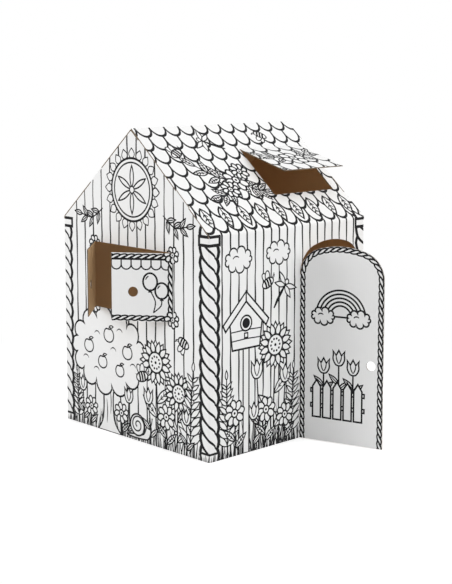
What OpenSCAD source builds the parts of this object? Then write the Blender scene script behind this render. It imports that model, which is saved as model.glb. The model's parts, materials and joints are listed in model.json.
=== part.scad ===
// Children's playhouse, cut and folded from one sheet of corrugated board.
// The ridge runs along X, the door wall faces -Y and the front gable faces -X.

/* [House] */
// Length along the ridge, over the gable faces
house_l = 864; // [780:1:1100]
// Width over the side walls
house_w = 864; // [700:1:1100]
// Height at which the wall and roof faces would meet
eave_h = 848; // [810:1:1000]
// Height of the ridge
ridge_h = 1220; // [1150:1:1400]

/* [Sheet] */
// Thickness of the corrugated board
board = 4; // [3:0.5:7]
// Outside radius of the soft eave folds
eave_r = 20; // [12:1:30]
// Inside radius of the sharp folds
fold_r = 1.5; // [0.5:0.5:4]
// Width of the lap glued inside the back corner
lap_w = 40; // [25:1:60]
// Length of the lip that tucks under the door slope at the ridge
lip_l = 60; // [30:1:90]

/* [Roof tabs] */
// Length of the gable tabs that hold the roof flaps
tab_l = 92; // [50:1:130]
// Distance of the tabs on the door slope from the ridge
door_tab_s = 336; // [200:1:360]
// Distance of the tabs on the far slope from the ridge
far_tab_s = 245; // [200:1:360]

/* [Door] */
// Width of the doorway
door_w = 353; // [300:1:400]
// Height of the doorway at the top of its arch
door_h = 774; // [650:1:790]
// Rise of the arch above its springing
door_rise = 122; // [116:1:150]
// Radius of the arch's shoulders
shoulder_r = 112; // [60:1:116]
// Distance of the doorway's free side from the back corner
door_margin = 27; // [12:1:60]
// Angle at which the door stands open
door_open = 73; // [0:1:170]
// Distance of the door's finger hole from its free edge
door_hole_in = 51; // [40:1:100]
// Height of the door's finger hole
door_hole_h = 322; // [250:1:500]

/* [Windows] */
// Width of the window in each gable
window_w = 472; // [350:1:560]
// Height of each window
window_h = 262; // [200:1:300]
// Height of each window's lower edge
sill_h = 502; // [400:1:540]
// Angle at which the front window's left shutter stands open
left_shutter_open = 45; // [0:1:170]
// Angle at which the front window's right shutter stands open
right_shutter_open = 38; // [0:1:170]
// Angle at which the back window's shutters stand open
back_shutter_open = 15; // [0:1:170]
// Distance of a shutter's finger hole from its free edge
shutter_hole_in = 82; // [40:1:110]
// Height of a shutter's finger hole above the window's lower edge
shutter_hole_h = 113; // [60:1:140]
// Diameter of every finger hole
finger_d = 38; // [25:1:50]

/* [Roof hatch] */
// Width of the hatch along the ridge
hatch_w = 344; // [250:1:450]
// Length of the hatch down the slope
hatch_l = 261; // [200:1:300]
// Distance of the hatch's crease from the ridge
hatch_s = 145; // [110:1:180]
// Distance of the hatch's side from the back gable
hatch_margin = 51; // [20:1:120]
// Angle at which the hatch stands open
hatch_open = 25; // [0:1:170]

/* [Fits] */
// Width of the cut round each flap
kerf = 1; // [0.5:0.1:2]
// Gap along each flap's crease
crease_gap = 0.3; // [0.2:0.1:0.5]
// Gap between the roof flaps and what they rest on
seat_gap = 0.4; // [0.3:0.1:1]
// Gap round each gable tab
tab_gap = 0.5; // [0.3:0.1:1.5]
// Gap under the door
floor_gap = 2; // [1:0.5:6]

/* [Hidden] */
$fn = 96;
// How far a cut runs past the face it goes through
over = 1;
// How far solids drawn apart reach into each other where the sheet runs on
joint_lap = 1;
half_w = house_w / 2;
slope_angle = atan2(ridge_h - eave_h, half_w);
slope_l = norm([half_w, ridge_h - eave_h]);
corner_r = board + fold_r;
eave_turn = 90 - slope_angle;
eave_set = eave_r * tan(eave_turn / 2);
wall_top = eave_h - eave_set;
door_wall_top = [-half_w, wall_top];
eave_fold = [eave_turn, eave_r, slope_l - eave_set];
// Flat facets that make up each bend
fold_facets = 10;
// The far slope stops short of the ridge, where its lip dives under the door slope
ridge_turn = 2 * slope_angle;
ridge_r = board + fold_r;
ridge_set = ridge_r * tan(slope_angle);
far_slope_l = slope_l - (board + seat_gap) / sin(ridge_turn);
lip_bend_h = ridge_h - (slope_l - far_slope_l + ridge_set) * sin(slope_angle)
    - ridge_r * cos(slope_angle);
// Where the lip ends, down the door slope from the ridge
lip_end_s = lip_l - (slope_l - far_slope_l) * cos(ridge_turn);
tab_root = board;
door_x = house_l / 2 - door_margin - door_w;
spring_h = door_h - door_rise;
crown_r = (pow(door_w / 2 - shoulder_r, 2) + pow(door_rise, 2) - pow(shoulder_r, 2))
    / (2 * (door_rise - shoulder_r));
crown_angle = atan2(door_w / 2 - shoulder_r, crown_r - door_rise);
hatch_x = house_l / 2 - hatch_margin - hatch_w;

// Sections of the folded sheet, drawn across the ridge with X as width and Y as height

function ahead(heading) = [cos(heading), sin(heading)];
function right_of(heading) = [sin(heading), -cos(heading)];
function reversed(points) = [for (i = [len(points) - 1 : -1 : 0]) points[i]];

// Points along a sheet that turns to the right, at a depth below its outside face.
// Each step is [turn, outside radius, length of the flat after the bend].
function fold_path(steps, depth, at, heading, i = 0) =
    i == len(steps) ? [at + depth * right_of(heading)] :
    let (
        turn = steps[i][0],
        r = steps[i][1],
        centre = at + r * right_of(heading),
        next_heading = heading - turn,
        next_at = centre - r * right_of(next_heading) + steps[i][2] * ahead(next_heading)
    )
    concat(
        [
            for (j = [0 : fold_facets])
                centre - (r - depth) * right_of(heading - turn * j / fold_facets)
        ],
        fold_path(steps, depth, next_at, next_heading, i + 1)
    );

// A strip that starts at the top of the door wall, running up
module folded_strip(steps) {
    polygon(concat(
        [door_wall_top - [0, joint_lap]],
        fold_path(steps, 0, door_wall_top, 90),
        reversed(fold_path(steps, board, door_wall_top, 90)),
        [door_wall_top + [board, -joint_lap]]
    ));
}

// Distance down the door slope from the ridge as X, depth below its face as Y
module on_slope() {
    translate([0, ridge_h]) rotate(180 + slope_angle) children();
}

module roof_tab(from_ridge, slack, depth) {
    on_slope() translate([from_ridge - slack, -slack])
        square([tab_l + 2 * slack, depth + slack]);
}

module roof_tabs(slack, depth) {
    roof_tab(door_tab_s, slack, depth);
    mirror([1, 0]) roof_tab(far_tab_s, slack, depth);
}

// Upper part of a gable, blunt at the peak and clear of the roof flaps and the lip over it
module gable_top() {
    inset = board + seat_gap;
    path = fold_path([eave_fold], inset, door_wall_top, 90);
    foot = wall_top - joint_lap;
    edge = [[inset - half_w, foot], for (i = [0 : len(path) - 2]) path[i]];
    peak = [0, ridge_h - inset / cos(slope_angle)];
    difference() {
        intersection() {
            polygon(concat(edge, [peak], [for (p = reversed(edge)) [-p[0], p[1]]]));
            translate([corner_r - half_w, foot])
                square([house_w - 2 * corner_r, lip_bend_h - foot]);
        }
        on_slope() translate([-lip_l, 0])
            square([lip_l + lip_end_s + seat_gap, 2 * inset]);
    }
}

// Extrusions along the ridge

module along_ridge(l) {
    rotate([90, 0, 90]) translate([0, 0, -l / 2]) linear_extrude(l) children();
}

module at_both_ends(l, past = 0) {
    for (side = [-1, 1])
        translate([side * ((house_l - l) / 2 + past), 0, 0]) along_ridge(l) children();
}

module door_slope() {
    along_ridge(house_l) folded_strip([eave_fold]);
}

module far_slope() {
    mirror([0, 1, 0]) along_ridge(house_l) folded_strip([
        [eave_turn, eave_r, far_slope_l - eave_set - ridge_set],
        [ridge_turn, ridge_r, lip_l - ridge_set]
    ]);
}

module roof_flaps() {
    difference() {
        union() {
            door_slope();
            far_slope();
        }
        at_both_ends(board + tab_gap + over, over) roof_tabs(tab_gap, board + seat_gap);
    }
}

// Walls, seen from above

module wall_plan(inset) {
    r = corner_r - inset;
    size = [house_l - 2 * inset, house_w - 2 * inset];
    square([size[0] - 2 * r, size[1]], center = true);
    square([size[0], size[1] - 2 * r], center = true);
    for (x = [-1, 1], y = [-1, 1])
        translate([x * (size[0] / 2 - r), y * (size[1] / 2 - r)]) circle(r);
}

module walls() {
    linear_extrude(wall_top) difference() {
        wall_plan(0);
        wall_plan(board);
    }
}

module glue_lap() {
    translate([house_l / 2 - board - lap_w, half_w - 2 * board, 0])
        cube([lap_w, board + joint_lap, wall_top - eave_set]);
}

module gable_tops() {
    at_both_ends(board) {
        gable_top();
        intersection() {
            roof_tabs(0, board + seat_gap + tab_root);
            translate([-half_w, 0]) square([house_w, ridge_h]);
        }
    }
}

// Frames of the faces with flaps: X to the right seen from outside, Z up, outside at -Y

module door_wall() {
    translate([0, -half_w, 0]) children();
}

module front_gable() {
    translate([-house_l / 2, 0, 0]) rotate(-90) children();
}

module back_gable() {
    rotate(180) front_gable() children();
}

module door_slope_face() {
    translate([0, 0, ridge_h]) rotate([-eave_turn, 0, 0]) children();
}

// A flap's board from its outline, with the outside face at y = 0
module panel() {
    translate([0, board, 0]) rotate([90, 0, 0]) linear_extrude(board) children();
}

module panel_cut() {
    translate([0, board + over, 0]) rotate([90, 0, 0])
        linear_extrude(board + 2 * over) children();
}

// Outlines of the openings and flaps, drawn from the crease

// Three-centred arch: two shoulders and a crown, all moved in by the inset
module arched_outline(inset, crease_side, bottom) {
    crown = [door_w / 2, door_h - crown_r];
    wedge_h = door_rise + crown_r;
    translate([crease_side, bottom])
        square([door_w - inset - crease_side, spring_h - bottom]);
    for (x = [shoulder_r, door_w - shoulder_r])
        translate([x, spring_h]) circle(shoulder_r - inset);
    translate(crown) intersection() {
        circle(crown_r - inset);
        polygon([
            [0, 0],
            [wedge_h * tan(crown_angle), wedge_h],
            [-wedge_h * tan(crown_angle), wedge_h]
        ]);
    }
}

module door_outline() {
    difference() {
        arched_outline(kerf, crease_gap, floor_gap);
        translate([door_w - door_hole_in, door_hole_h]) circle(finger_d / 2);
    }
}

module window_outline() {
    translate([-window_w / 2, sill_h]) square([window_w, window_h]);
}

module shutter_outline() {
    free_edge = window_w / 2 - kerf / 2;
    difference() {
        translate([crease_gap, sill_h + kerf])
            square([free_edge - crease_gap, window_h - 2 * kerf]);
        translate([free_edge - shutter_hole_in, sill_h + shutter_hole_h])
            circle(finger_d / 2);
    }
}

module hatch_outline() {
    translate([kerf, kerf - hatch_l])
        square([hatch_w - 2 * kerf, hatch_l - kerf - crease_gap]);
}

// Sub-parts

module house_sheet() {
    color("white") difference() {
        union() {
            walls();
            glue_lap();
            gable_tops();
            roof_flaps();
        }
        door_wall() translate([door_x, 0, 0]) panel_cut()
            arched_outline(0, 0, -over);
        front_gable() panel_cut() window_outline();
        back_gable() panel_cut() window_outline();
        door_slope_face() panel_cut()
            translate([hatch_x, -hatch_s - hatch_l]) square([hatch_w, hatch_l]);
    }
}

module door() {
    color("whitesmoke") door_wall() translate([door_x, 0, 0])
        rotate(-door_open) panel() door_outline();
}

module shutter_on_left(open) {
    translate([-window_w / 2, 0, 0]) rotate(-open) panel() shutter_outline();
}

module shutter_on_right(open) {
    mirror([1, 0, 0]) shutter_on_left(open);
}

module left_shutter() {
    color("whitesmoke") front_gable() shutter_on_left(left_shutter_open);
}

module right_shutter() {
    color("whitesmoke") front_gable() shutter_on_right(right_shutter_open);
}

module back_left_shutter() {
    color("whitesmoke") back_gable() shutter_on_left(back_shutter_open);
}

module back_right_shutter() {
    color("whitesmoke") back_gable() shutter_on_right(back_shutter_open);
}

module roof_hatch() {
    color("whitesmoke") door_slope_face() translate([hatch_x, 0, -hatch_s])
        rotate([-hatch_open, 0, 0]) panel() hatch_outline();
}

house_sheet();
door();
left_shutter();
right_shutter();
back_left_shutter();
back_right_shutter();
roof_hatch();
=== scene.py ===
import json
from math import atan2, cos, exp, hypot, pi, radians, sin, sqrt, tan

import bmesh
import bpy
from mathutils import Matrix, Vector
from mathutils.bvhtree import BVHTree
from mathutils.geometry import delaunay_2d_cdt


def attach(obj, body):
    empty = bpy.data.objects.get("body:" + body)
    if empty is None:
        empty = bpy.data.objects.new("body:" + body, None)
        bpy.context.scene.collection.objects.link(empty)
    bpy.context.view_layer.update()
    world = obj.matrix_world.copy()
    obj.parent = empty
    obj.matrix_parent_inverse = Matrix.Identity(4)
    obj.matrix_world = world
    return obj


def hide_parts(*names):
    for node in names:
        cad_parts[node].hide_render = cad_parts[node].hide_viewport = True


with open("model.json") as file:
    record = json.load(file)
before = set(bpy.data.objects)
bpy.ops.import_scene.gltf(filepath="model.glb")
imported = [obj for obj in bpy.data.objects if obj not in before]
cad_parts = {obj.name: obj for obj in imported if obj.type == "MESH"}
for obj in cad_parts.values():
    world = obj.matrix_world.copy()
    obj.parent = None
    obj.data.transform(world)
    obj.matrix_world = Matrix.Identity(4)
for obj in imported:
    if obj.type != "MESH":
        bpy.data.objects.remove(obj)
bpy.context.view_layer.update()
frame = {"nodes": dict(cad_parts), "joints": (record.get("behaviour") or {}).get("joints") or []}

mm = 0.001

# the folded sheet in millimetres, as the part's source has it
house = dict(
    wall=864, eave=848, ridge=1220,
    board=4, eaveRadius=20, cornerRadius=5.5,
    roofSeat=0.4, ridgeStop=14, peakStop=12, lipEnd=1178,
    tabLength=92, doorTab=336, farTab=245,
)
doorway = dict(hinge=484, width=353, height=774, rise=122, shoulder=112, holeIn=51, holeUp=322)
window = dict(front=-668, back=1060, width=472, sill=502, height=262, holeIn=82, holeUp=113)
hatch = dict(left=469, width=344, length=261, fromRidge=145)
cuts = dict(kerf=1.0, crease=0.3, fingerHole=38, floorGap=2)

wall = house["wall"]
halfWall = wall / 2
eave, ridge = house["eave"], house["ridge"]
roofRise = ridge - eave
slope = atan2(roofRise, halfWall)
slopeLength = hypot(roofRise, halfWall)
eaveTurn = pi / 2 - slope
eaveSet = house["eaveRadius"] * tan(eaveTurn / 2)
wallTop = eave - eaveSet
ridgeLine = eave + slopeLength  # the ridge in the flat sheet


# an operator on sockets, and the same with its sides swapped
def operator(operation):
    return (lambda self, other: self.maths(operation, self, other),
            lambda self, other: self.maths(operation, other, self))


# wraps one socket, so that maths on it is written as Python
class Wire:
    __add__, __radd__ = operator("ADD")
    __sub__, __rsub__ = operator("SUBTRACT")
    __mul__, __rmul__ = operator("MULTIPLY")
    __truediv__, __rtruediv__ = operator("DIVIDE")
    __lt__ = operator("LESS_THAN")[0]
    __gt__ = operator("GREATER_THAN")[0]

    def __init__(self, tree, socket=None):
        self.tree = tree
        self.socket = socket

    def node(self, kind, sockets={}, out=0, **settings):
        made = self.tree.nodes.new(kind)
        for name, value in settings.items():
            setattr(made, name, value)
        for name, value in sockets.items():
            if isinstance(value, Wire):
                self.tree.links.new(value.socket, made.inputs[name])
            else:
                made.inputs[name].default_value = value
        return Wire(self.tree, made.outputs[out] if made.outputs else None)

    def out(self, name):
        return Wire(self.tree, self.socket.node.outputs[name])

    def maths(self, operation, a, b=0.0):
        return self.node("ShaderNodeMath", {0: a, 1: b}, operation=operation)

    def blend(self, factor, a, b):
        return self.node("ShaderNodeMix", {0: factor, 6: a, 7: b}, 2, data_type="RGBA")

    def noise(self, place, scale, detail, out=0, **more):
        return self.node("ShaderNodeTexNoise", dict(more, Vector=place, Scale=scale, Detail=detail), out)

    def bump(self, strength, distance, height):
        return self.node("ShaderNodeBump", {"Strength": strength, "Distance": distance, "Height": height})

    def __abs__(self):
        return self.maths("ABSOLUTE", self)


def newMesh(name, verts, edges, faces, *materials):
    mesh = bpy.data.meshes.new(name)
    mesh.from_pydata(verts, edges, faces)
    for material in materials:
        mesh.materials.append(material)
    return mesh


def newObject(name, data):
    made = bpy.data.objects.new(name, data)
    bpy.context.scene.collection.objects.link(made)
    return made


def newMaterial(name):
    material = bpy.data.materials.new(name)
    material.use_nodes = True
    material.node_tree.nodes.clear()
    t = Wire(material.node_tree)
    return material, t, t.node("ShaderNodeTexCoord", out="Object")


def finishMaterial(material, t, sockets):
    shader = t.node("ShaderNodeBsdfPrincipled", sockets)
    t.node("ShaderNodeOutputMaterial", {"Surface": shader})
    return material


# each shade colour is its liner's darker tone, reached by the liner's uneven tone and by painted shade along
# the flutes
paper = dict(colour=(0.86, 0.86, 0.855, 1), shade=(0.8, 0.8, 0.8, 1), flutePitch=0.0076)
kraft = dict(colour=(0.67, 0.44, 0.225, 1), shade=(0.56, 0.345, 0.16, 1), fibre=(0.74, 0.52, 0.3, 1))
# the hollow colour is painted shade for the cavities in the cut
rawCut = dict(  # depths are shares of the board
    colour=(0.28, 0.205, 0.13, 1), fibre=(0.36, 0.27, 0.175, 1), hollowShade=(0.03, 0.021, 0.014, 1),
    least=0.06, middle=0.5, waveDepth=0.34, fluteHalf=0.1, linerFrom=0.38,
)
ink = dict(colour=(0.006, 0.006, 0.007, 1), thin=(0.018, 0.018, 0.019, 1), shine=0.12)


# the board's own coordinates: the flutes' wave across them, and the depth from the printed face
def fluteCoordinates(t):
    parts = t.node("ShaderNodeSeparateXYZ", {0: t.node("ShaderNodeUVMap", uv_map="flute")})
    wave = t.maths("SINE", parts.out("X") * (2 * pi / paper["flutePitch"]))
    return wave, parts.out("Y")


# white coated liner, with the flutes just showing through as a bump and as painted shade in faint bands along
# them
def printedLiner():
    material, t, place = newMaterial("printedLiner")
    wave = fluteCoordinates(t)[0]
    cloud = t.noise(place, 3.0, 3.0)
    grain = t.noise(place, 420.0, 2.0)
    # painted shade: the flute wave darkens the colour in faint bands; cloud and grain are the liner's own
    # uneven tone
    tone = 0.5 * cloud + 0.1 * wave + 0.25 * grain - 0.12
    return finishMaterial(material, t, {
        "Base Color": t.blend(tone, paper["colour"], paper["shade"]),
        "Roughness": 0.44 + 0.16 * cloud,
        "Normal": t.bump(0.25, 0.0004, 0.5 * wave + 0.25 * grain),
    })


# bare brown liner inside the house
def kraftLiner():
    material, t, place = newMaterial("kraftLiner")
    wave = fluteCoordinates(t)[0]
    cloud = t.noise(place, 5.0, 4.0)
    fibre = t.noise(place, 260.0, 4.0, Roughness=0.7)
    drawn = t.node("ShaderNodeMapping", {"Vector": place, "Scale": (60.0, 60.0, 3.0)})
    streak = t.noise(drawn, 1.0, 3.0)
    # painted shade: the flute wave darkens the colour a little in bands; cloud and streak are the kraft's own
    # uneven tone
    body = t.blend(0.45 * cloud + 0.25 * streak + 0.07 * wave, kraft["colour"], kraft["shade"])
    return finishMaterial(material, t, {
        "Base Color": t.blend((fibre > 0.64) * 0.45, body, kraft["fibre"]),
        "Roughness": 0.72 + 0.16 * fibre,
        "Normal": t.bump(0.3, 0.0005, 0.6 * wave + 0.4 * fibre),
    })


# raw cut through both liners and the fluting between them, with painted shade in the hollows between them
def cutEdge():
    material, t, place = newMaterial("cutEdge")
    wave, depth = fluteCoordinates(t)
    flute = abs(depth - (rawCut["middle"] + rawCut["waveDepth"] * wave)) < rawCut["fluteHalf"]
    liner = abs(depth - rawCut["middle"]) > rawCut["linerFrom"]
    board = t.maths("MAXIMUM", flute, liner)
    grain = t.noise(place, 500.0, 2.0)
    body = t.blend(grain, rawCut["fibre"], rawCut["colour"])
    # painted shade: where neither flute nor liner is, the cut takes the dark hollow colour
    filled = rawCut["least"] + (1 - rawCut["least"]) * board
    return finishMaterial(material, t, {
        "Base Color": t.blend(filled, rawCut["hollowShade"], body),
        "Roughness": 0.8 + 0.1 * grain,
        "Normal": t.bump(0.4, 0.0006, board),
    })


# black print, thinner where the board was a little low
def printInk():
    material, t, place = newMaterial("printInk")
    patch = t.noise(place, 22.0, 3.0)
    speck = t.noise(place, 700.0, 1.0)
    return finishMaterial(material, t, {
        "Base Color": t.blend(patch * 0.7 + (speck > 0.66) * 0.4, ink["colour"], ink["thin"]),
        "Roughness": 0.48 + 0.2 * patch,
        "Specular IOR Level": ink["shine"],
    })


linerWhite, linerKraft, rawEdge, inkBlack = printedLiner(), kraftLiner(), cutEdge(), printInk()
print("materials made")


# Boards: copies of the CAD sheets whose faces know which side of the board they are on

upward = Vector((0, 0, 1))
outerFace, innerFace, cutFace = range(3)  # places in a board's list of materials
boardTest = dict(weld=1e-6, start=1e-5, reach=1.35 * house["board"] * mm)


def acrossFlutes(normal):
    run = upward.cross(normal)
    return run.normalized() if run.length > 1e-4 else Vector((1, 0, 0))


def boardPiece(node, name, body, isOutside):
    source = frame["nodes"][node]
    bm = bmesh.new()
    bm.from_mesh(source.data)
    bmesh.ops.remove_doubles(bm, verts=bm.verts, dist=boardTest["weld"])
    bm.faces.ensure_lookup_table()
    tree = BVHTree.FromBMesh(bm)
    side = {}
    for f in bm.faces:
        centre = f.calc_center_median()
        hit = tree.ray_cast(centre - f.normal * boardTest["start"], -f.normal)
        if hit[0] is None or hit[3] >= boardTest["reach"]:
            side[f.index] = cutFace
        else:
            side[f.index] = outerFace if isOutside(centre, f.normal) else innerFace
    flute = bm.loops.layers.uv.new("flute")
    for f in bm.faces:
        kind = side[f.index]
        panel = f.normal
        if kind == cutFace:
            beside = [g for e in f.edges for g in e.link_faces]
            near = [g.normal for g in beside if side[g.index] == outerFace]
            near += [-g.normal for g in beside if side[g.index] == innerFace]
            panel = near[0] if near else panel
        run = acrossFlutes(panel)
        for loop in f.loops:
            sides = [side[g.index] for g in loop.vert.link_faces]
            loop[flute].uv = (loop.vert.co.dot(run), 0.0 if outerFace in sides else 1.0)
        f.material_index = kind
        f.smooth = False
    mesh = bpy.data.meshes.new(name)
    bm.to_mesh(mesh)
    bm.free()
    for material in (linerWhite, linerKraft, rawEdge):
        mesh.materials.append(material)
    piece = newObject(name, mesh)
    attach(piece, body)
    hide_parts(node)
    return piece


joints = {j["name"]: j for j in frame["joints"]}
flaps = {
    "door": dict(node="door", joint="door_crease", faces=(0, -1, 0)),
    "leftShutter": dict(node="left_shutter", joint="left_shutter_crease", faces=(-1, 0, 0)),
    "rightShutter": dict(node="right_shutter", joint="right_shutter_crease", faces=(-1, 0, 0)),
    "backLeftShutter": dict(node="back_left_shutter", joint="back_left_shutter_crease", faces=(1, 0, 0)),
    "backRightShutter": dict(node="back_right_shutter", joint="back_right_shutter_crease", faces=(1, 0, 0)),
    "hatch": dict(node="roof_hatch", joint="hatch_crease", faces=(0, -sin(slope), cos(slope))),
}


# turns a flap from shut, where its print was laid out, to how it stands
def flapTurn(flap):
    joint = joints[flap["joint"]]
    axis, at = Vector(joint["axis"]), Vector(joint["pos_m"])
    turn = Matrix.Rotation(radians(-joint["range_deg"][0]), 4, axis)
    return Matrix.Translation(at) @ turn @ Matrix.Translation(-at)


houseCentre = Vector((0, 0, 0.5 * eave * mm))
boards = [boardPiece("house_sheet", "houseBoard", "house", lambda c, n: n.dot(c - houseCentre) > 0)]
for name, flap in flaps.items():
    flap["turn"] = flapTurn(flap)
    facing = flap["turn"].to_3x3() @ Vector(flap["faces"])
    flap["body"] = joints[flap["joint"]]["child"]
    boards.append(boardPiece(flap["node"], name + "Board", flap["body"], lambda c, n, f=facing: n.dot(f) > 0))
print("boards made:", [len(b.data.polygons) for b in boards])


# The print is drawn flat on the sheet, in millimetres: u runs round the walls, v up the wall and on
# over the eave fold to the ridge. The window gable ends and the door wall starts at u 0.

plan = []  # (points, tone) painted in this order
boldness = 1.45  # weight of every drawn line
leastInside = 4  # a smaller white inside is left black
mitre = dict(least=0.35, most=2.2)  # how far a sharp corner may reach when a shape grows


def paint(points, tone="ink"):
    plan.append(([Vector((p[0], p[1])) for p in points], tone))


def signedArea(points):
    return 0.5 * sum(a[0] * b[1] - b[0] * a[1] for a, b in zip(points, points[1:] + points[:1]))


def grow(points, by):
    points = [Vector(p) for p in points]
    if signedArea(points) < 0:
        points.reverse()
    grown = []
    for i, p in enumerate(points):
        a, b = points[i - 1], points[(i + 1) % len(points)]
        before, after = (p - a).normalized(), (b - p).normalized()
        along = before + after
        along = along.normalized() if along.length > 1e-3 else after
        reach = min(1 / max(mitre["least"], along.dot(after)), mitre["most"])
        grown.append(p + Vector((along.y, -along.x)) * by * reach)
    return grown


def outline(points, pen=4.5):
    half = 0.5 * pen * boldness
    paint(grow(points, half))
    inner = grow(points, -half)
    if signedArea(inner) > leastInside:
        paint(inner, "paper")


def smooth(points, closed=False, steps=6):
    points = [Vector(p) for p in points]
    n = len(points)
    made = []
    for i in range(n if closed else n - 1):
        at = [points[(i + k) % n] if closed else points[min(max(i + k, 0), n - 1)] for k in (-1, 0, 1, 2)]
        for k in range(steps):
            t = k / steps
            made.append(0.5 * (
                2 * at[1] + (at[2] - at[0]) * t
                + (2 * at[0] - 5 * at[1] + 4 * at[2] - at[3]) * t * t
                + (3 * at[1] - at[0] - 3 * at[2] + at[3]) * t ** 3))
    return made if closed else made + [points[-1]]


def stroke(points, pen=4.5, taper=0.35):
    points = [Vector(p) for p in points]
    left, right = [], []
    for i, p in enumerate(points):
        d = (points[min(i + 1, len(points) - 1)] - points[max(i - 1, 0)]).normalized()
        wide = 0.5 * pen * boldness * (1 - taper * abs(2 * i / (len(points) - 1) - 1) ** 2)
        aside = Vector((-d.y, d.x)) * wide
        left.append(p + aside)
        right.append(p - aside)
    paint(left + right[::-1])


def ellipse(at, rx, ry=None, turn=0.0, count=24, start=0.0, sweep=2 * pi):
    ry = rx if ry is None else ry
    c, s = cos(turn), sin(turn)
    ends = count + 1 if sweep < 2 * pi - 1e-6 else count
    made = []
    for k in range(ends):
        a = start + sweep * k / count
        x, y = rx * cos(a), ry * sin(a)
        made.append(Vector((at[0] + c * x - s * y, at[1] + s * x + c * y)))
    return made


def placed(points, at, turn=0.0, size=1.0):
    c, s = cos(turn) * size, sin(turn) * size
    return [Vector((at[0] + c * p[0] - s * p[1], at[1] + s * p[0] + c * p[1])) for p in points]


def polar(at, reach, angle):
    return at[0] + reach * cos(angle), at[1] + reach * sin(angle)


# the door's arch: a flat crown between two shoulder arcs
def archOutline(inset, creaseSide, foot):
    width, height, rise, shoulder = (doorway[k] for k in ("width", "height", "rise", "shoulder"))
    half, spring = width / 2, height - rise
    crown = ((half - shoulder) ** 2 + rise ** 2 - shoulder ** 2) / (2 * (rise - shoulder))
    turn = atan2(half - shoulder, crown - rise)
    quarter = pi / 2
    arcs = [
        ((width - shoulder, spring), shoulder, 0, quarter - turn),
        ((half, height - crown), crown, quarter - turn, 2 * turn),
        ((shoulder, spring), shoulder, quarter + turn, quarter - turn),
    ]
    points = [(width - inset, foot), (width - inset, spring)]
    for centre, radius, start, sweep in arcs:
        points += ellipse(centre, radius - inset, start=start, sweep=sweep, count=12)
    points += [(creaseSide, spring), (creaseSide, foot)]
    return [(doorway["hinge"] + max(p[0], creaseSide), p[1]) for p in points]


def rectangle(left, foot, right, top):
    return [(left, foot), (right, foot), (right, top), (left, top)]


# Repeated marks come from two Geometry Nodes trees, which work on the flat plan

def flatMesh(name, polygons):
    verts, faces, tones = [], [], []
    for points, tone in polygons:
        faces.append(range(len(verts), len(verts) + len(points)))
        verts += [(p[0], p[1], 0) for p in points]
        tones.append(1 if tone == "ink" else 0)
    mesh = newMesh(name, verts, [], faces)
    mesh.attributes.new("tone", "INT", "FACE").data.foreach_set("value", tones)
    return mesh


def treeWithInputs(name, inputs):
    tree = bpy.data.node_groups.new(name, "GeometryNodeTree")
    for label, kind in inputs:
        tree.interface.new_socket(label, in_out="INPUT", socket_type="NodeSocket" + kind)
    tree.interface.new_socket("Marks", in_out="OUTPUT", socket_type="NodeSocketGeometry")
    t = Wire(tree)
    return tree, t, t.node("NodeGroupInput")


handShake = dict(scale=0.013, detail=1.0)


# instances on points, made real, shaken a little as by a hand, and inked
def inkInstances(t, given, points, turn, size):
    mark = t.node("GeometryNodeObjectInfo", {"Object": given.out("Mark")}, "Geometry")
    turned = t.node("FunctionNodeEulerToRotation", {0: t.node("ShaderNodeCombineXYZ", {2: turn})})
    placedMarks = t.node("GeometryNodeInstanceOnPoints", {
        "Points": points, "Instance": mark, "Rotation": turned, "Scale": size})
    real = t.node("GeometryNodeRealizeInstances", {0: placedMarks})
    noise = t.noise(t.node("GeometryNodeInputPosition"), handShake["scale"], handShake["detail"], "Color")
    parts = t.node("ShaderNodeSeparateXYZ", {0: noise})
    wobble = given.out("Wobble")
    shake = t.node("ShaderNodeCombineXYZ", {
        0: (parts.out("X") - 0.5) * wobble, 1: (parts.out("Y") - 0.5) * wobble})
    moved = t.node("GeometryNodeSetPosition", {"Geometry": real, "Offset": shake})
    inked = t.node("GeometryNodeSetMaterial", {"Geometry": moved, "Material": given.out("Ink")})
    t.node("NodeGroupOutput", {0: inked})


def marksAlongTree():
    tree, t, given = treeWithInputs("marksAlong", [
        ("Path", "Geometry"), ("Mark", "Object"), ("Spacing", "Float"), ("Size Spread", "Float"),
        ("Lean Spread", "Float"), ("Wobble", "Float"), ("Seed", "Int"), ("Ink", "Material")])
    curve = t.node("GeometryNodeMeshToCurve", {0: given.out("Path")})
    spaced = {"Curve": curve, "Length": given.out("Spacing")}
    points = t.node("GeometryNodeCurveToPoints", spaced, mode="LENGTH")
    run = t.node("ShaderNodeSeparateXYZ", {0: points.out("Tangent")})
    seed = given.out("Seed")
    lean, spread = (
        t.node("FunctionNodeRandomValue", {2: -1.0, 3: 1.0, "Seed": drawn}, 1, data_type="FLOAT")
        for drawn in (seed, seed + 7))
    turn = t.maths("ARCTAN2", run.out("Y"), run.out("X")) + lean * given.out("Lean Spread")
    inkInstances(t, given, points, turn, 1 + spread * given.out("Size Spread"))
    return tree


def shingleTree():
    tree, t, given = treeWithInputs("shingleField", [
        ("Path", "Geometry"), ("Mark", "Object"), ("Rows", "Int"), ("Columns", "Int"), ("Width", "Float"),
        ("Lift", "Float"), ("Wobble", "Float"), ("Ink", "Material")])
    rows, columns, width, lift = (given.out(k) for k in ("Rows", "Columns", "Width", "Lift"))
    grid = t.node("GeometryNodeMeshGrid", {
        "Size X": 1.0, "Size Y": 1.0, "Vertices X": rows, "Vertices Y": columns})
    index = t.node("GeometryNodeInputIndex")
    row = t.maths("FLOOR", (index + 0.5) / columns)
    column = index - row * columns
    odd = t.maths("MODULO", row, 2.0)
    place = t.node("ShaderNodeCombineXYZ", {0: (column + 0.5 * odd) * width, 1: row * lift})
    points = t.node("GeometryNodeSetPosition", {"Geometry": grid, "Position": place})
    inkInstances(t, given, points, 0.0, (1, 1, 1))
    return tree


trees = {"marksAlong": marksAlongTree(), "shingleField": shingleTree()}


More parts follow.
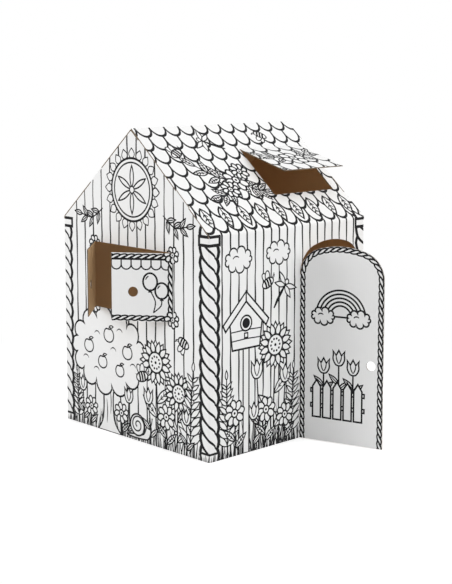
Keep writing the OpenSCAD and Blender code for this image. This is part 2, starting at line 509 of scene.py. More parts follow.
# runs a tree on a path and paints the marks that it makes, moved to a place
def growMarks(treeName, path, mark, at, inputs):
    stamp = bpy.data.objects.new("stamp", flatMesh("stamp", mark))
    links = [(i, i + 1) for i in range(len(path) - 1)]
    pathMesh = newMesh("path", [(p[0], p[1], 0) for p in path], links, [])
    host = newObject("path", pathMesh)
    modifier = host.modifiers.new("marks", "NODES")
    modifier.node_group = trees[treeName]
    values = dict(inputs, Mark=stamp, Ink=inkBlack)
    for item in trees[treeName].interface.items_tree:
        if item.in_out == "INPUT" and item.name in values:
            modifier[item.identifier] = values[item.name]
    depsgraph = bpy.context.evaluated_depsgraph_get()
    mesh = bpy.data.meshes.new_from_object(host.evaluated_get(depsgraph))
    tone = mesh.attributes["tone"].data
    for p in mesh.polygons:
        corners = [mesh.vertices[i].co for i in p.vertices]
        paint([(c.x + at[0], c.y + at[1]) for c in corners], "ink" if tone[p.index].value else "paper")
    bpy.data.objects.remove(host)
    bpy.data.objects.remove(stamp)
    for used in (mesh, pathMesh):
        bpy.data.meshes.remove(used)


def marksAlong(path, mark, spacing, sizeSpread=0.0, leanSpread=0.0, wobble=0.0, seed=1, at=(0, 0)):
    growMarks("marksAlong", path, mark, at, {
        "Spacing": spacing, "Size Spread": sizeSpread, "Lean Spread": leanSpread,
        "Wobble": wobble, "Seed": seed})


planks = dict(
    side=dict(pitch=43.0, inset=44, top=905), gable=dict(pitch=53.5, inset=58, top=1225),
    foot=-5, pen=6.6, swell=0.22, swellRate=0.55, steps=40, wobble=9.0,
)


def plankLines(wallStart, pitch, inset, top):
    left, right = wallStart + inset, wallStart + wall - inset
    foot, steps = planks["foot"], planks["steps"]
    pitch = (right - left) / round((right - left) / pitch)
    line = []
    for k in range(steps + 1):
        half = 0.5 * planks["pen"] * (1 + planks["swell"] * sin(planks["swellRate"] * k))
        line.append((foot + (top - foot) * k / steps, half))
    mark = [(-w, y) for y, w in line] + [(w, y) for y, w in line[::-1]]
    path = [(left + 0.5 * pitch, 0), (right - 0.5 * pitch, 0)]
    # a spacing a little under the pitch keeps the last line
    marksAlong(path, [(mark, "ink")], pitch * 0.999, wobble=planks["wobble"], seed=3)


# one turn of a twisted column or rope that runs along x: an S-shaped strand with rounded ends
def strand(pitch, half, lean, pen, border, bulge, edgePen):
    reach = radians(80)
    def edge(shift):
        turns = [-reach + 2 * reach * k / 8 for k in range(9)]
        return [(shift + lean * a / (2 * reach), half * sin(a) / sin(reach)) for a in turns]
    low, high = edge(0.5 * (pen - pitch)), edge(0.5 * (pitch - pen))
    ends = [(0.5 * lean, half + bulge)], [(-0.5 * lean, -half - bulge)]
    inner = smooth(low + ends[0] + high[::-1] + ends[1], closed=True, steps=2)
    outer = [(x, y * (1 + edgePen / half)) for x, y in grow(inner, border)]
    return [(outer, "ink"), (grow(inner, 0.01), "paper")]


columnTwist = dict(pitch=53, half=35, lean=70, pen=9.5, border=9.5, bulge=6.0, edgePen=4.0)
columnEnds = dict(
    capHalf=53, capLow=810, capTop=842, capPen=8.0, under=10,
    footHalf=47, footLow=-12, footTop=30, footPen=6.0,
)


def twistedColumn(u):
    e = columnEnds
    marksAlong([(u, 0), (u, e["capLow"] + e["under"])], strand(**columnTwist), columnTwist["pitch"])
    for end in ("cap", "foot"):
        half = e[end + "Half"]
        outline(rectangle(u - half, e[end + "Low"], u + half, e[end + "Top"]), e[end + "Pen"])


ropeTwist = dict(pitch=27.5, half=4.6, lean=19, pen=12.0, border=7.4, bulge=1.6, edgePen=-0.6)


def ropeAlong(path):
    marksAlong(path, strand(**ropeTwist), ropeTwist["pitch"])


grass = dict(
    spacing=6.8, height=74, foot=-6, sizeSpread=0.5, leanSpread=0.3,
    wallFrom=20, wallTo=850, columnHalf=54, columnTall=0.42,
)


def grassRow(left, right, seed, tall=1.0, thin=1.0):
    g = grass
    h = g["height"] * tall
    blade = [(2.6, 0), (2.2, h * 0.5), (-1.0, h), (-1.2, h * 0.5), (-1.9, 0)]
    marksAlong([(left, g["foot"]), (right, g["foot"])], [(blade, "ink")], g["spacing"] * thin,
               sizeSpread=g["sizeSpread"], leanSpread=g["leanSpread"], seed=seed)


shingle = dict(
    width=73.5, lift=73, drop=112, depth=47, sidePen=8.6, footPen=12.4, overlap=2.0, footDrop=1.5, footUp=3.5,
    columns=14, rows=8, shift=-59.5, foot=854, wobble=6.0,
)


# a scalloped shingle: straight sides that run up under the next row, and a heavier rounded foot
def shingles(left):
    s = shingle
    half = s["width"] / 2
    def tile(inset, lift):
        centre = (0, s["depth"] + lift)
        low = ellipse(centre, half - inset, s["depth"] - inset, start=pi, sweep=pi, count=18)
        return [(half - inset, s["drop"]), (inset - half, s["drop"])] + low
    side = s["sidePen"] / 2
    mark = [
        (tile(-s["overlap"], -s["footDrop"]), "ink"),
        (tile(side, s["footPen"] - side - s["footUp"]), "paper"),
    ]
    growMarks("shingleField", [(0, 0), (1, 0)], mark, (left + s["shift"], s["foot"]), {
        "Rows": s["rows"], "Columns": s["columns"], "Width": s["width"], "Lift": s["lift"],
        "Wobble": s["wobble"]})


# Garden motifs, each drawn from a few outlines

def leafShape(length, wide):
    top = [(length * t, 0.5 * wide * sin(pi * t ** 0.85)) for t in [k / 8 for k in range(9)]]
    return top + [(x, -y) for x, y in top[-2:0:-1]]


longLeaf = 60  # longer leaves have side ribs


def leaf(at, length, wide, turn, pen=3.8, vein=True):
    outline(placed(leafShape(length, wide), at, turn), pen)
    if vein:
        stroke(placed([(length * t, 0) for t in (0.05, 0.3, 0.55, 0.78)], at, turn), pen * 0.8)
    if vein and length > longLeaf:
        for t in (0.28, 0.48, 0.66):
            for side in (-1, 1):
                reach = 0.3 * wide * sin(pi * t) * side
                rib = [(length * t, 0), (length * (t + 0.06), 0.5 * reach), (length * (t + 0.13), reach)]
                stroke(placed(rib, at, turn), pen * 0.75)


def stem(foot, head, bend=0.0, pen=4.6):
    mid = [(foot[0] + head[0]) / 2 + bend, (foot[1] + head[1]) / 2]
    stroke(smooth([foot, mid, head], steps=8), pen, 0.1)


def daisy(at, r, petals=8, turn=0.0, pen=4.2):
    for k in range(petals):
        a = turn + 2 * pi * k / petals
        petal = ellipse(polar(at, 0.62 * r, a), 0.38 * r, r * 0.74 * sin(pi / petals), a, 18)
        outline(petal, pen)
    outline(ellipse(at, 0.3 * r, count=18), pen)
    paint(ellipse(at, 0.1 * r, count=12))


def sunflower(at, size):
    r, pen = 0.72 * size, 4.0
    for ring, reach in ((0, 1.0), (1, 0.92)):
        for k in range(12):
            a = 2 * pi * (k + 0.5 * ring) / 12
            outline(placed(leafShape(0.62 * r * reach, 0.3 * r), polar(at, 0.4 * r, a), a), pen)
    outline(ellipse(at, 0.46 * r, count=24), pen * 1.2)
    for k in range(10):
        paint(ellipse(polar(at, 0.27 * r, 2 * pi * k / 10), 0.055 * r, count=8))
    paint(ellipse(at, 0.07 * r, count=8))


def tulip(at, size):
    base, tall, pen = (at[0], at[1] - 0.15 * size), 0.95 * size, 4.2
    half = [(0.24, 0.08), (0.42, 0.42), (0.4, 0.78)]
    bowl = smooth([(-x, y) for x, y in half[::-1]] + [(0, 0)] + half, steps=5)
    crown = [(0.44, 1.02), (0.2, 0.7), (0, 1.06), (-0.2, 0.7), (-0.44, 1.02)]
    outline(placed(bowl + crown, base, 0, tall), pen)
    for side in (-1, 1):
        fold = smooth([(0.2 * side, 0.68), (0.15 * side, 0.4), (0.02 * side, 0.14)], steps=5)
        stroke(placed(fold, base, 0, tall), pen * 0.8)


def stemmed(flower, u, height, size, lean=0.0, leaves=2, foot=0):
    head = (u + lean, foot + height)
    stem((u, foot), head, -0.25 * lean)
    for k in range(leaves):
        side = -1 if k % 2 else 1
        up = 0.18 + 0.17 * k
        turn = radians(90 - 48 * side)
        leaf((u + lean * up, foot + height * up), 0.9 * size, 0.3 * size, turn)
    flower(head, size)


def daisyHead(at, size):
    daisy(at, size * 0.62, turn=0.2)


def fern(u, height, lean):
    pairs = 8
    path = smooth([(u, 0), (u + 0.25 * lean, 0.5 * height), (u + lean, height)], steps=16)
    stroke(path, 4.0, 0.2)
    for k in range(pairs):
        i = int((k + 2) * (len(path) - 2) / (pairs + 2))
        d = path[i + 1] - path[i]
        way = atan2(d.y, d.x)
        size = height * 0.26 * (1 - 0.62 * k / pairs)
        for side in (-1, 1):
            leaf(path[i], size, size * 0.34, way + side * 0.85, 3.2, vein=False)
    leaf(path[-1], height * 0.12, height * 0.045, way, 3.2, vein=False)


# a puffed outline of even bumps round an ellipse
def puffed(at, rx, ry, bumps, turn=0.0):
    knots = ellipse(at, rx, ry, 0, bumps, turn)
    made = []
    for a, b in zip(knots, knots[1:] + knots[:1]):
        centre, reach = (a + b) / 2, (b - a).length / 2
        start = atan2(a.y - centre.y, a.x - centre.x)
        made += ellipse(centre, reach * 1.08, count=9, start=start, sweep=pi)[:-1]
    return made


def cloud(at, size, pen=4.2):
    outline(puffed(at, size, size * 0.48, 9, 0.3), pen)
    stroke(ellipse((at[0] - 0.2 * size, at[1]), 0.28 * size, 0.22 * size, 0, 10, 0.6, 2.2), pen * 0.8)


def apple(at, r):
    pen = 4.0
    angles = [-pi + 2 * pi * k / 16 for k in range(16)]
    body = [(r * sin(a) * (1 - 0.1 * cos(a)), r * (cos(a) - 0.28 * exp(-4 * a * a)))
            for a in angles]
    outline(smooth(placed(body, at), closed=True, steps=2), pen)
    stroke(placed([(0, 0.62), (0.1, 1.0), (0.28, 1.28)], at, 0, r), pen)
    leaf((at[0] + 0.2 * r, at[1] + 1.05 * r), 0.75 * r, 0.34 * r, 0.15, pen * 0.8, vein=False)


def appleTree(u, size):
    at = (u, 0)
    trunk = smooth([(-0.2, 0), (-0.1, 0.16), (-0.09, 0.5), (-0.2, 0.74)], steps=5)
    trunk += smooth([(0.22, 0.74), (0.1, 0.5), (0.11, 0.16), (0.24, 0)], steps=5)
    outline(placed(trunk, at, 0, size), 5.2)
    for x, low, high in ((-0.03, 0.1, 0.4), (0.04, 0.22, 0.52), (-0.02, 0.44, 0.6)):
        bark = smooth([(x, low), (x + 0.012, 0.5 * (low + high)), (x, high)], steps=4)
        stroke(placed(bark, at, 0, size), 3.6, 0.8)
    outline(puffed((u, 0.98 * size), 0.6 * size, 0.4 * size, 13), 5.4)
    apples = [(-0.36, 1.0, 0.085), (0.02, 1.18, 0.09), (0.36, 1.02, 0.085)]
    apples += [(-0.1, 0.84, 0.08), (0.22, 0.78, 0.075)]
    for x, y, r in apples:
        apple((u + x * size, y * size), r * size)
    for x, y in ((-0.2, 1.14), (0.22, 1.22), (0.1, 0.98), (-0.42, 0.82), (0.46, 0.84), (-0.22, 0.7)):
        tuft = ellipse((u + x * size, y * size), 0.055 * size, count=7, start=0.3, sweep=2.4)
        stroke(tuft, 3.4, 0.7)


def snail(u, foot, size):
    back = [(-0.62, 0.02), (-0.2, 0.1), (0.3, 0.16), (0.5, 0.5), (0.66, 0.56), (0.74, 0.42)]
    belly = [(0.6, 0.06), (0.3, -0.02), (-0.3, -0.03)]
    body = smooth(back + belly, closed=True, steps=5)
    for x in (0.6, 0.74):
        stroke(placed([(x - 0.02, 0.52), (x + 0.02, 0.66), (x + 0.05, 0.8)], (u, foot), 0, size), 3.6, 0.2)
        paint(ellipse((u + (x + 0.05) * size, foot + 0.82 * size), 0.035 * size, count=10))
    outline(placed(body, (u, foot), 0, size), 4.4)
    shell = (u - 0.02 * size, foot + 0.46 * size)
    outline(ellipse(shell, 0.4 * size, count=28), 5.0)
    coil = [polar(shell, 0.36 * size * (1 - k / 40) + 2, -0.6 + k * 0.32) for k in range(36)]
    for k in range(0, 35, 7):
        stroke(coil[k:k + 8], 4.2, 0.0)


def bee(at, size, turn):
    for way in (1.9, 1.2):
        root = placed([(0.34 * size * cos(way), 0.46 * size * sin(way))], at, turn)[0]
        outline(ellipse(root, 0.34 * size, 0.2 * size, turn + way, 18), 3.4)
    outline(ellipse(at, 0.52 * size, 0.3 * size, turn, 24), 4.0)
    for x in (-0.22, 0.0, 0.22):
        y = 0.27 * sqrt(1 - (x / 0.52) ** 2)
        stroke(placed([(x, -y), (x + 0.03, 0), (x, y)], at, turn, size), 0.1 * size, 0.0)
    for y in (0.05, 0.16):
        stroke(placed([(0.5, y), (0.66, y + 0.08), (0.74, y + 0.2)], at, turn, size), 3.0, 0.3)


def dragonfly(at, size, turn):
    for way, reach in ((1.15, 0.62), (1.95, 0.56), (-1.15, 0.62), (-1.95, 0.56)):
        wing = leafShape(reach * size, 0.2 * size)
        outline(placed(wing, polar(at, 0.12 * size, turn), turn + way), 3.4)
    stroke(placed([(0.22, 0), (-0.2, 0.01), (-0.55, 0.0), (-0.85, -0.03)], at, turn, size), 0.09 * size, 0.5)
    outline(ellipse(polar(at, 0.28 * size, turn), 0.1 * size, count=14), 3.6)


def birdhouse(u, height, size):
    outline(rectangle(u - 0.09 * size, 0, u + 0.09 * size, height), 4.6)
    at = (u, height)
    outline(placed([(-0.42, 0), (0.42, 0), (0.5, 0.62), (0, 1.08), (-0.5, 0.62)], at, 0, size), 5.0)
    for y in (0.2, 0.4):
        stroke(placed([(-0.42 - 0.12 * y, y), (0, y + 0.015), (0.42 + 0.12 * y, y)], at, 0, size), 3.4, 0.1)
    hole = (u, height + 0.56 * size)
    outline(ellipse(hole, 0.17 * size, count=22), 4.6)
    paint(ellipse(hole, 0.115 * size, count=20))
    outline(placed(rectangle(-0.05, 0.24, 0.05, 0.34), at, 0, size), 3.8)
    for side in (-1, 1):
        slat = [(0, 1.26), (0.7, 0.58), (0.62, 0.44), (0, 1.04)]
        outline(placed([(x * side, y) for x, y in slat], at, 0, size), 5.0)


def rainbow(at, r):
    for k in range(5):
        outline(ellipse(at, r * (1 - 0.145 * k), count=36, sweep=pi), 4.8)
    for side in (-1, 1):
        cloud((at[0] + side * 0.72 * r, at[1] - 0.02 * r), 0.42 * r, 4.6)


def picketFence(left, foot, count, width, height):
    pitch = 1.28 * width
    for y in (0.26, 0.66):
        outline(rectangle(left - 8, foot + y * height, left + count * pitch, foot + (y + 0.1) * height), 4.4)
    picket = rectangle(0, 0, width, 0.82 * height)
    picket.insert(3, (0.5 * width, height))
    for k in range(count):
        outline(placed(picket, (left + k * pitch, foot)), 4.8)


def balloon(at, r, string):
    stem(string, (at[0], at[1] - 1.25 * r), 0.5 * r, 3.2)
    outline(ellipse(at, r, 1.22 * r, 0, 26), 4.8)
    outline(placed([(-0.16, -1.42), (0.16, -1.42), (0, -1.16)], at, 0, r), 3.6)
    stroke(ellipse(at, 0.66 * r, 0.84 * r, 0, 8, 1.9, 0.9), 3.6, 0.5)


# six compass-drawn petals in a ring, with a border of small petals set round it
def rosette(at, r):
    reach = 0.86 * r
    ring = ellipse((0, 0), reach, count=72)
    small = leafShape(0.3 * r, 0.24 * r)
    mark = [(grow(small, 2.2), "ink"), (grow(small, -2.2), "paper")]
    mark = [([(y, -x) for x, y in points], tone) for points, tone in mark]
    petals = 20.01  # a little over 20, which keeps the last one
    marksAlong(ring + ring[:1], mark, 2 * pi * reach / petals, at=at)
    outline(ellipse(at, 0.88 * r, count=48), 6.0)
    outline(ellipse(at, 0.76 * r, count=48), 4.4)
    inner, sixth = 0.72 * r, pi / 3
    for k in range(6):
        a = pi / 2 + k * sixth
        petal = ellipse(polar((0, 0), inner, a + sixth), inner, count=10, start=a - 2 * sixth, sweep=sixth)
        petal += ellipse(polar((0, 0), inner, a - sixth), inner, count=10, start=a + sixth, sweep=sixth)[1:-1]
        outline(placed(grow(petal, -3.0), at), 4.2)
    outline(ellipse(at, 0.1 * r, count=18), 4.2)


def leafSprig(foot, head, leaves, size):
    sag = 0.18 * abs(head[0] - foot[0])
    path = smooth([foot, ((foot[0] + head[0]) / 2, (foot[1] + head[1]) / 2 - sag), head], steps=14)
    stroke(path, 4.0, 0.2)
    for k in range(leaves):
        i = int((k + 1) * (len(path) - 2) / (leaves + 1))
        d = path[i + 1] - path[i]
        way = atan2(d.y, d.x)
        for side in (-1, 1):
            leaf(path[i], size, 0.38 * size, way + side * 0.75, 4.0)
    leaf(path[-1], size, 0.38 * size, way, 4.0)


def valance(left, right, top, lobes, drop):
    width = (right - left) / lobes
    for k in range(lobes):
        x = left + width * (k + 0.5)
        lobe = [(x + 0.5 * width, top), (x - 0.5 * width, top)]
        lobe += ellipse((x, top - drop + 0.5 * width), 0.5 * width, count=12, start=pi, sweep=pi)
        outline(lobe, 3.5)


# Print of the whole sheet, painter's order

walls = [-2 * wall, -wall, 0, wall]  # far wall, window gable, door wall, back gable
folds = walls + [2 * wall]
eaveLeaf = dict(count=9, first=48, pitch=96, base=980, length=104, wide=48, pen=5.2)
gableField = dict(foot=840, top=1230)  # cleared of the side walls' overhanging shingles


def wallGround():
    e = eaveLeaf
    for left in (walls[0], walls[2]):
        plankLines(left, **planks["side"])
        shingles(left)
        for k in range(e["count"]):
            base = (left + e["first"] + e["pitch"] * k, e["base"])
            leaf(base, e["length"], e["wide"], -pi / 2, e["pen"])
    for left in (walls[1], walls[3]):
        paint(rectangle(left, gableField["foot"], left + wall, gableField["top"]), "paper")
        plankLines(left, **planks["gable"])
    for left in walls:
        grassRow(left + grass["wallFrom"], left + grass["wallTo"], seed=11 + int(left / 100))


# flowers: u, height, size, lean, leaves; sprigs: foot, tip, leaf pairs, leaf; flyers: place, size, turn
def windowGablePrint():
    rosette((-432, 985), 138)
    leafSprig((-612, 900), (-742, 868), 3, 48)
    leafSprig((-252, 900), (-122, 868), 3, 48)
    fern(-782, 215, -10)
    stemmed(tulip, -748, 150, 62, -6)
    appleTree(-590, 336)
    stemmed(daisyHead, -705, 86, 66, 6, 1)
    stemmed(tulip, -470, 150, 62, 8)
    snail(-408, 14, 108)
    stemmed(daisyHead, -505, 92, 70, -4, 1)
    stemmed(sunflower, -288, 330, 122, -12, 3)
    stemmed(tulip, -330, 168, 64, -14)
    stemmed(sunflower, -178, 232, 108, 10, 3)
    stemmed(daisyHead, -236, 128, 80, -4)
    fern(-104, 330, 16)
    stemmed(tulip, -122, 128, 60, -4)
    bee((-380, 262), 66, 0.3)
    bee((-140, 430), 58, 2.7)


def doorWallPrint():
    grassRow(70, 476, seed=41, tall=2.1, thin=2.4)
    cloud((150, 745), 62)
    cloud((362, 752), 58)
    dragonfly((392, 610), 104, 0.9)
    bee((306, 640), 60, 0.4)
    fern(92, 300, -4)
    birdhouse(190, 405, 172)
    stemmed(sunflower, 338, 395, 124, 10, 3)
    stemmed(tulip, 262, 290, 74, -14, 3)
    stemmed(daisyHead, 134, 165, 84, -4)
    stemmed(tulip, 392, 250, 72, 12, 3)
    stemmed(daisyHead, 292, 150, 82, 6)
    fern(440, 285, 10)
    stemmed(daisyHead, 402, 112, 76, 0, 1)
    stemmed(tulip, 226, 132, 66, 6, 1)


doorArt = dict(
    rainbow=(-2, 500), rainbowSize=104, tulips=((-72, 92), (-8, 128), (52, 96)), bed=190, tulipSize=60,
    fence=(-118, 96), pickets=5, picketWide=34, picketTall=148, ropeIn=13, ropeFoot=-14,
)
belowFloor = -20  # shapes that are cut off by the floor edge start here


def doorPrint():
    d = doorArt
    middle = doorway["hinge"] + doorway["width"] / 2
    paint(archOutline(0, 0, belowFloor), "paper")
    rainbow((middle + d["rainbow"][0], d["rainbow"][1]), d["rainbowSize"])
    for shift, height in d["tulips"]:
        stemmed(tulip, middle + shift, height, d["tulipSize"], foot=d["bed"])
    picketFence(middle + d["fence"][0], d["fence"][1], d["pickets"], d["picketWide"], d["picketTall"])
    ropeAlong(archOutline(d["ropeIn"], d["ropeIn"], d["ropeFoot"]))


def windowEdges(left):
    return left, window["sill"], left + window["width"], window["sill"] + window["height"]


shutterArt = dict(
    lobes=6, lobeDrop=38, valanceIn=8, valanceDown=26,
    knot=(160, 34), balloons=((148, 152, 27), (192, 118, 25)),
    ropeUp=13, ropeDown=15, ropeIn=10, ropeEnd=8, flowerIn=2, flowerSize=33,
)


def shutterPrint(left, low, right, top):
    s = shutterArt
    middle = (left + right) / 2
    paint(rectangle(left, low, right, top), "paper")
    for a, b in ((left + s["valanceIn"], middle), (middle, right - s["valanceIn"])):
        valance(a, b, top - s["valanceDown"], s["lobes"], s["lobeDrop"])
    for side in (-1, 1):
        knot = (middle + side * s["knot"][0], low + s["knot"][1])
        for out, up, r in s["balloons"]:
            balloon((middle + side * out, low + up), r, knot)
    for v in (low + s["ropeUp"], top - s["ropeDown"]):
        ropeAlong([(left, v), (right, v)])
    ends = low + s["ropeEnd"], top - s["ropeEnd"]
    for u in (left + s["ropeIn"], right - s["ropeIn"]):
        ropeAlong([(u, v) for v in ends])
    for u in (left + s["flowerIn"], right - s["flowerIn"]):
        for v in ends:
            daisy((u, v), s["flowerSize"], 7, 0.3, 4.4)


def roofPrint():
    leafSprig((322, 1112), (176, 1196), 3, 74)
    leafSprig((334, 1110), (432, 1040), 3, 66)
    leafSprig((314, 1100), (196, 1030), 3, 66)
    for at, r in (((328, 1108), 58), ((266, 1062), 44), ((378, 1152), 44)):
        daisy(at, r, 8, 0.2, 5.2)
    leafSprig((620, 1140), (520, 1186), 2, 70)
    leafSprig((660, 1140), (760, 1186), 2, 70)
    daisy((640, 1130), 62, 6, 0.2, 6.0)
    bee((130, 1270), 62, 0.5)
    dragonfly((318, 1322), 104, 2.6)
    bee((640, 1345), 58, 2.6)


wallGround()
windowGablePrint()
doorWallPrint()
for u in folds:
    twistedColumn(u)
    grassRow(u - grass["columnHalf"], u + grass["columnHalf"], seed=29, tall=grass["columnTall"])
doorPrint()
for gable in ("front", "back"):
    shutterPrint(*windowEdges(window[gable]))
roofPrint()
print("plan drawn:", len(plan), "shapes")


# Where the sheet is cut, in plan

printGap = dict(cut=0.2, crease=1.5, roof=0.3)  # the print stops this far short of each
bareNotch = (-4.9, -0.8, -4.9, -0.8)  # round a tab's line: half the width, and past the ends


def gableOutline(left):
    steep = tan(slope)
    def edge(depth, z):
        return (ridge - depth / cos(slope) - z) / steep
    under = house["board"] + house["roofSeat"] + printGap["roof"]
    corner = halfWall - house["cornerRadius"]
    shoulder = ridge - under / cos(slope) - corner * steep
    top, lipEnd = ridge - house["peakStop"], house["lipEnd"]
    foot = [(halfWall, 0), (halfWall, wallTop), (corner, wallTop), (corner, shoulder)]
    farSide = foot + [(edge(under, top), top)]
    # the lip lies under the door slope, on the side that the door wall is
    lip = [(edge(under, lipEnd), lipEnd), (edge(2 * under, lipEnd), lipEnd), (edge(2 * under, top), top)]
    doorSide = foot + lip
    right, leftSide = (doorSide, farSide) if left < 0 else (farSide, doorSide)
    middle = left + halfWall
    return [(middle + x, z) for x, z in right] + [(middle - x, z) for x, z in leftSide[::-1]]


# a rectangle with each side moved in by its own amount
def movedIn(box, left, low, right, top):
    return rectangle(box[0] + left, box[1] + low, box[2] - right, box[3] - top)


hatchTop = ridgeLine - hatch["fromRidge"]
hatchBox = hatch["left"], hatchTop - hatch["length"], hatch["left"] + hatch["width"], hatchTop
sheetParts = {
    "farSide": rectangle(walls[0], 0, walls[1], ridgeLine - house["ridgeStop"]),
    "windowGable": gableOutline(walls[1]),
    "doorSide": rectangle(walls[2], 0, walls[3], ridgeLine),
    "backGable": gableOutline(walls[3]),
}
gap = printGap["cut"]
byKerf, byCrease, byMeeting = cuts["kerf"] + gap, cuts["crease"] + gap, cuts["kerf"] / 2 + gap
openings = {
    "doorway": archOutline(-gap, -gap, belowFloor),
    "hatchway": movedIn(hatchBox, -gap, -gap, -gap, -gap),
}
for slopeName, start, left in (("door", house["doorTab"], walls[2]), ("far", house["farTab"], walls[0])):
    tabTop = ridgeLine - start
    for u in (left, left + wall):
        tab = u, tabTop - house["tabLength"], u, tabTop
        openings[f"{slopeName}Notch{u}"] = movedIn(tab, *bareNotch)
flapShapes = {
    "door": archOutline(byKerf, byCrease, cuts["floorGap"] + gap),
    "hatch": movedIn(hatchBox, byKerf, byKerf, byKerf, byCrease),
}


def fingerHole(u, v):
    return ellipse((u, v), cuts["fingerHole"] / 2 + gap, count=40)


fingerHoles = [fingerHole(doorway["hinge"] + doorway["width"] - doorway["holeIn"], doorway["holeUp"])]
# print stops short of each crease, so that it stays clear when a flap is folded right back
bare = printGap["crease"]
creases = [
    rectangle(doorway["hinge"] - bare, belowFloor, doorway["hinge"] + bare, doorway["height"]),
    rectangle(hatchBox[0], hatchTop - bare, hatchBox[2], hatchTop + bare),
]
shutters = {"front": ("leftShutter", "rightShutter"), "back": ("backLeftShutter", "backRightShutter")}
for gable, pair in shutters.items():
    box = windowEdges(window[gable])
    left, low, right, top = box
    middle = (left + right) / 2
    openings[gable + "Window"] = movedIn(box, -gap, -gap, -gap, -gap)
    flapShapes[pair[0]] = movedIn((left, low, middle, top), byCrease, byKerf, byMeeting, byKerf)
    flapShapes[pair[1]] = movedIn((middle, low, right, top), byMeeting, byKerf, byCrease, byKerf)
    for side in (-1, 1):
        reach = cuts["kerf"] / 2 + window["holeIn"]
        fingerHoles.append(fingerHole(middle + side * reach, low + window["holeUp"]))
    for u in (left, right):
        creases.append(rectangle(u - bare, low, u + bare, top))


# Folding: a plan point's place and facing on the built house

wallFrames = []  # start of each wall, the way it runs and the way it faces
for corner, facing in (((1, 1), (0, 1)), ((-1, 1), (-1, 0)), ((-1, -1), (0, -1)), ((1, -1), (1, 0))):
    facing = Vector((*facing, 0))
    wallFrames.append((Vector((*corner, 0)) * halfWall, upward.cross(facing), facing))


def foldedPoint(part, u, v):
    k = list(sheetParts).index(part)
    start, run, facing = wallFrames[k]
    along = u - walls[k]
    r = house["cornerRadius"]
    place = start + run * along
    if v > wallTop and k in (0, 2):
        if v < wallTop + 2 * eaveSet:
            turn = eaveTurn * (v - wallTop) / (2 * eaveSet)
            face = facing * cos(turn) + upward * sin(turn)
            centre = place - facing * house["eaveRadius"] + upward * wallTop
            return centre + face * house["eaveRadius"], face
        up = upward * sin(slope) - facing * cos(slope)
        return (place + upward * eave + up * (v - eave),
                facing * sin(slope) + upward * cos(slope))
    if v <= wallTop + 1e-6:
        for end, sign in ((0, -1), (wall, 1)):
            into = (along - end) * sign + r  # how far round the corner fold, from its start on this wall
            if into > 0:
                other = wallFrames[(k + sign) % 4][2]
                turn = pi / 2 * into / (2 * r)
                face = facing * cos(turn) + other * sin(turn)
                centre = start + run * end - run * sign * r - facing * r
                return centre + face * r + upward * v, face
    return place + upward * v, facing


# Arrangement: the painted shapes are cut up into triangles, and the ink ones are kept

points, edges, faces, kinds = [], [], [], []
arrange = dict(weld=0.02, flat=1e-6, snap=1e-3, cornerBends=6, eaveBends=10)


def addPolygon(shape, kind):
    shape = [Vector((p[0], p[1])) for p in shape]
    kept = [p for i, p in enumerate(shape) if (p - shape[i - 1]).length > arrange["weld"]]
    if len(kept) < 3:
        return
    if signedArea(kept) < 0:
        kept.reverse()
    # the fill starts at the leftmost corner, so a fold-back left there by an inset is dropped
    while len(kept) > 3:
        first = min(range(len(kept)), key=lambda i: (kept[i].x, kept[i].y))
        kept = kept[first:] + kept[:first]
        if (kept[0] - kept[-1]).cross(kept[1] - kept[0]) > arrange["flat"]:
            break
        kept = kept[1:]
    faces.append(list(range(len(points), len(points) + len(kept))))
    points.extend(kept)
    kinds.append(kind)


def addLine(a, b):
    edges.append((len(points), len(points) + 1))
    points.extend((Vector(a), Vector(b)))


for kind, shapes in (("part", sheetParts), ("open", openings), ("flap", flapShapes)):
    for name, shape in shapes.items():
        addPolygon(shape, (kind, name))
for shape in fingerHoles + creases:
    addPolygon(shape, ("hole", ""))
for shape, tone in plan:
    addPolygon(shape, ("paint", tone))
for u in folds:
    for k in range(arrange["cornerBends"] + 1):
        bend = u + house["cornerRadius"] * (2 * k / arrange["cornerBends"] - 1)
        addLine((bend, 0), (bend, wallTop))
for left in (walls[0], walls[2]):
    for k in range(arrange["eaveBends"] + 1):
        bend = wallTop + 2 * eaveSet * k / arrange["eaveBends"]
        addLine((left, bend), (left + wall, bend))
print("arranging", len(points), "points")
arranged = delaunay_2d_cdt(points, edges, faces, 0, arrange["snap"], True)
outPoints, outFaces, fromFaces = arranged[0], arranged[2], arranged[5]
print("arranged into", len(outFaces), "triangles")

inkTriangles = {name: [] for name in list(sheetParts) + list(flaps)}
for triangle, sources in zip(outFaces, fromFaces):
    over = {}
    for k in sorted(sources):  # a later paint covers an earlier one
        kind, value = kinds[k]
        over[kind] = value
    part, flap = over.get("part"), over.get("flap")
    if over.get("paint") != "ink" or part is None or "hole" in over:
        continue
    if "open" not in over or flap:
        inkTriangles[flap or part].append((triangle, part))

inkHeight = dict(proud=0.11, sunk=0.03)  # millimetres over and under the board's face


def inkPiece(owner, body):
    turn = flaps[owner]["turn"] if owner in flaps else Matrix.Identity(4)
    verts, polygons, index, sides = [], [], {}, {}
    def corner(i, part):
        if (i, part) not in index:
            place, face = foldedPoint(part, outPoints[i].x, outPoints[i].y)
            index[(i, part)] = len(verts)
            verts.append(turn @ ((place + face * inkHeight["proud"]) * mm))
            verts.append(turn @ ((place - face * inkHeight["sunk"]) * mm))
        return index[(i, part)]
    for triangle, part in inkTriangles[owner]:
        ids = [corner(i, part) for i in triangle]
        polygons += [ids, [i + 1 for i in reversed(ids)]]
        for a, b in zip(ids, ids[1:] + ids[:1]):
            if (b, a) in sides:
                del sides[(b, a)]
            else:
                sides[(a, b)] = True
    for a, b in sides:
        polygons.append([a, a + 1, b + 1, b])
    piece = newObject(owner + "Print", newMesh(owner + "Print", verts, [], polygons, inkBlack))
    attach(piece, body)
    return piece


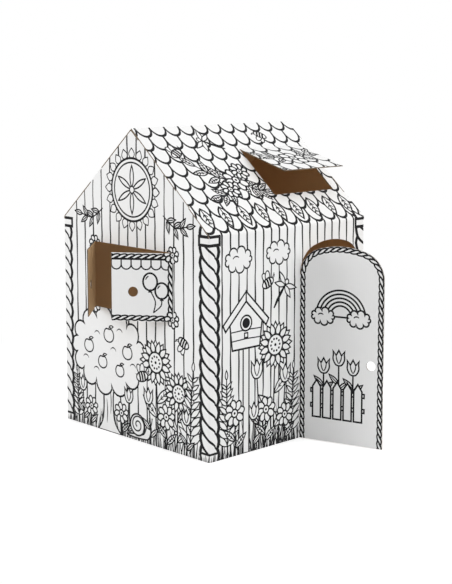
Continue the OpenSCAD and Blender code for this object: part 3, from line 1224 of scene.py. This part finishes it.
prints = [inkPiece(name, flaps[name]["body"] if name in flaps else "house") for name in inkTriangles]
print("print laid on:", [len(p.data.polygons) for p in prints])


# Stage: pale floor, white backdrop, soft lamps and the camera

studio = dict(
    world=0.62, floor=(0.8, 0.8, 0.8, 1),
    floorGlow=0.5, fade=(0.9, 1.9), floorSize=14.0, floorDown=0.0005,
)


# 1 where the viewer sees a surface, straight or mirrored, and 0 for the light that it sends on
def seenRay(t):
    path = t.node("ShaderNodeLightPath", out="Is Camera Ray")
    mirrored = t.maths("MAXIMUM", path.out("Is Glossy Ray"), path.out("Is Transmission Ray"))
    return t.maths("MAXIMUM", path, mirrored)


def whiteLight(t, kind, strength):
    return t.node("ShaderNode" + kind, {"Color": (1, 1, 1, 1), "Strength": strength})


def whiteFloor():
    material, t, place = newMaterial("paleFloor")
    matt = t.node("ShaderNodeBsdfDiffuse", {"Color": studio["floor"]})
    glow = whiteLight(t, "Emission", studio["floorGlow"])
    white = whiteLight(t, "Emission", 1.0)
    both = t.node("ShaderNodeAddShader", {0: matt, 1: glow})
    # the floor fades to the backdrop's white away from the object
    away = t.node("ShaderNodeVectorMath", {0: place}, "Value", operation="LENGTH")
    fade = t.node("ShaderNodeMapRange", {0: away, 1: studio["fade"][0], 2: studio["fade"][1]})
    shown = t.node("ShaderNodeMixShader", {0: fade, 1: both, 2: white})
    surface = t.node("ShaderNodeMixShader", {0: seenRay(t), 1: matt, 2: shown})
    t.node("ShaderNodeOutputMaterial", {"Surface": surface})
    half = studio["floorSize"] / 2
    corners = [(x, y, -studio["floorDown"]) for x, y in rectangle(-half, -half, half, half)]
    floor = newObject("floor", newMesh("floor", corners, [], [(0, 1, 2, 3)], material))


def whiteWorld():
    world = bpy.data.worlds.new("studio")
    world.use_nodes = True
    world.node_tree.nodes.clear()
    bpy.context.scene.world = world
    t = Wire(world.node_tree)
    light = whiteLight(t, "Background", studio["world"])
    white = whiteLight(t, "Background", 1.0)
    surface = t.node("ShaderNodeMixShader", {0: seenRay(t), 1: light, 2: white})
    t.node("ShaderNodeOutputWorld", {"Surface": surface})


lamps = {
    "overhead": dict(place=(0.4, -1.2, 4.2), aim=(0, 0, 0.9), size=2.6, power=38),
    "frontRight": dict(place=(1.6, -4.4, 2.4), aim=(0, -0.3, 0.6), size=2.2, power=66),
    "leftBack": dict(place=(-4.6, 1.6, 2.2), aim=(-0.3, 0.1, 0.6), size=2.0, power=78),
}


def softLamp(name, place, aim, size, power):
    data = bpy.data.lights.new(name, "AREA")
    data.shape, data.size, data.energy = "DISK", size, power
    lamp = newObject(name, data)
    lamp.location = place
    lamp.rotation_euler = (Vector(aim) - Vector(place)).to_track_quat("-Z", "Y").to_euler()


cameraSet = dict(place=(-3.6638, -3.8802, 1.4763), yaw=43.889, down=7.473, lens=81.355, sensor=36, shift=-0.1)


def photoCamera():
    s = cameraSet
    yaw, down = radians(s["yaw"]), radians(s["down"])
    data = bpy.data.cameras.new("camera")
    data.lens, data.sensor_width, data.shift_y = s["lens"], s["sensor"], s["shift"]
    camera = newObject("camera", data)
    ahead = Vector((sin(yaw) * cos(down), cos(yaw) * cos(down), -sin(down)))
    camera.location = s["place"]
    camera.rotation_euler = ahead.to_track_quat("-Z", "Y").to_euler()
    bpy.context.scene.camera = camera


whiteFloor()
whiteWorld()
for name, lamp in lamps.items():
    softLamp(name, **lamp)
photoCamera()
bpy.context.scene.view_settings.view_transform = "Standard"
print("stage set")
